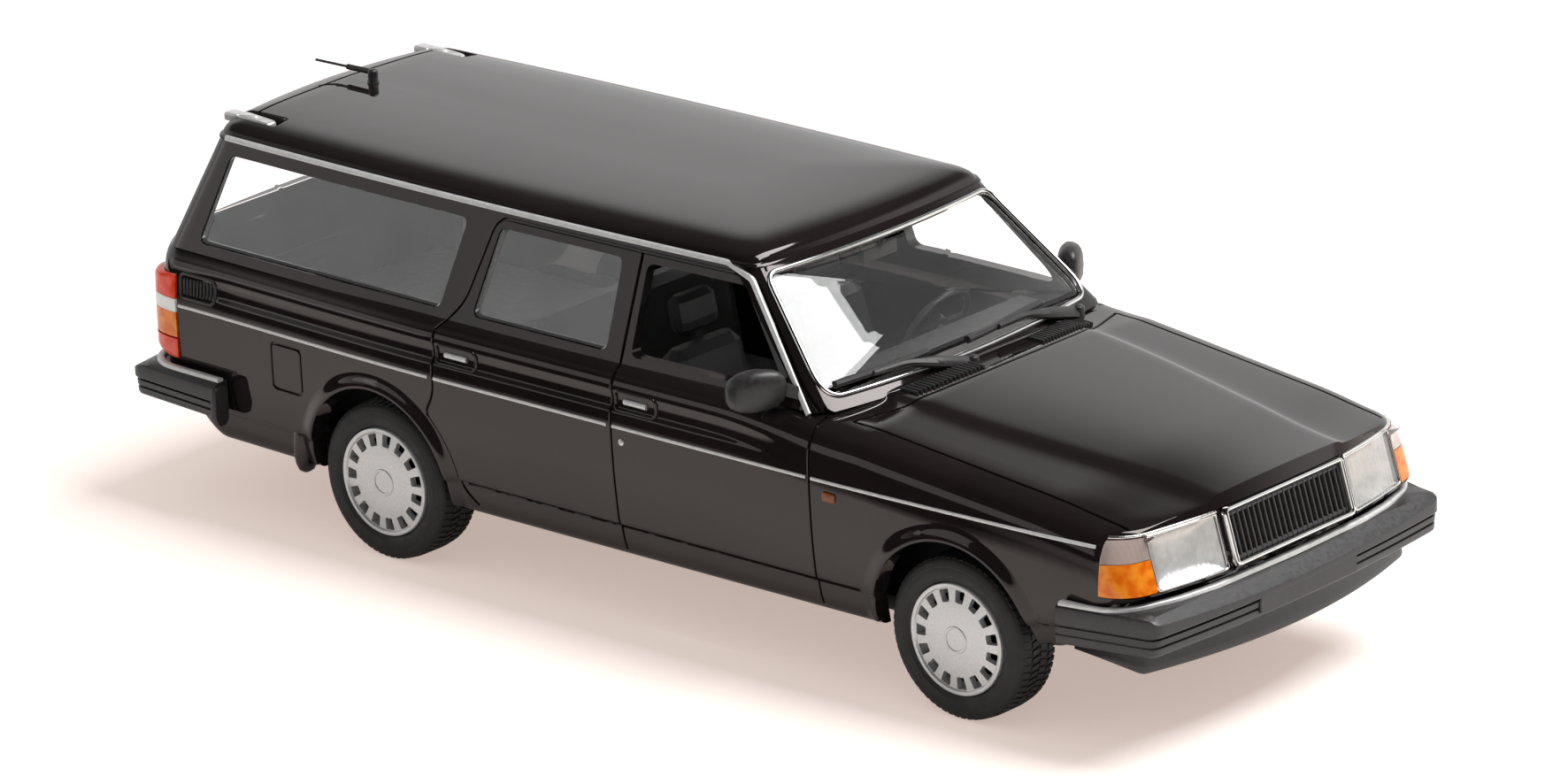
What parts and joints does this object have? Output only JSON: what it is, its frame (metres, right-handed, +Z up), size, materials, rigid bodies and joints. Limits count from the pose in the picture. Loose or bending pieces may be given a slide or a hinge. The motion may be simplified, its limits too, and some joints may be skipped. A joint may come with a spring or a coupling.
{
  "type": "die-cast model station wagon",
  "caption": "Boxy five-door station wagon as a die-cast display model, with a hollow glazed cabin, black bumpers, bright trim and wheels that turn with their axles.",
  "frame": {"origin": "on the floor below the middle of the model's bounding box", "axes": "+X to the front, +Y to the car's left, +Z up"},
  "size_m": [0.112, 0.0434, 0.035],
  "materials": {
    "paint": "gloss",
    "base_plastic": "matte",
    "cabin_plastic": "matte",
    "clear": "gloss",
    "black_plastic": "satin",
    "bright": "polished",
    "lamp_clear": "gloss",
    "lamp_amber": "gloss",
    "lamp_red": "gloss",
    "tyre": "matte",
    "cover_silver": "satin",
    "pin_steel": "satin"
  },
  "bodies": {
    "chassis": {"body_shell": "paint", "base_plate": "base_plastic", "interior_tub": "cabin_plastic", "driver_seat": "cabin_plastic", "passenger_seat": "cabin_plastic", "rear_bench": "cabin_plastic", "dashboard": "cabin_plastic", "steering_wheel": "cabin_plastic", "windscreen": "clear", "rear_door_glass": "clear", "cargo_glass": "clear", "tailgate_glass": "clear", "front_bumper": "black_plastic", "front_bumper_strip": "bright", "front_spoiler": "black_plastic", "rear_bumper": "black_plastic", "rear_bumper_strip": "bright", "grille_slats": "black_plastic", "grille_frame": "bright", "headlamp_right": "lamp_clear", "headlamp_left": "lamp_clear", "corner_lamp_right": "lamp_amber", "corner_lamp_left": "lamp_amber", "tail_lamp_right": "lamp_red", "tail_lamp_left": "lamp_red", "mirror_right": "black_plastic", "mirror_left": "black_plastic", "screen_wipers": "black_plastic", "cabin_mirror": "cabin_plastic", "antenna": "black_plastic", "tailgate_hinges": "bright"},
    "front_wheelset": {"front_axle": "pin_steel", "rim_front_right": "cover_silver", "rim_front_left": "cover_silver", "tyre_front_right": "tyre", "tyre_front_left": "tyre"},
    "rear_wheelset": {"rear_axle": "pin_steel", "rim_rear_right": "cover_silver", "rim_rear_left": "cover_silver", "tyre_rear_right": "tyre", "tyre_rear_left": "tyre"}
  },
  "joints": [
    {"name": "front_axle_roll", "type": "hinge", "parent": "chassis", "child": "front_wheelset", "pos_m": [0.03505, 0, 0.0068], "axis": [0, 1, 0], "continuous": true},
    {"name": "rear_axle_roll", "type": "hinge", "parent": "chassis", "child": "rear_wheelset", "pos_m": [-0.02655, 0, 0.0068], "axis": [0, 1, 0], "continuous": true}
  ]
}
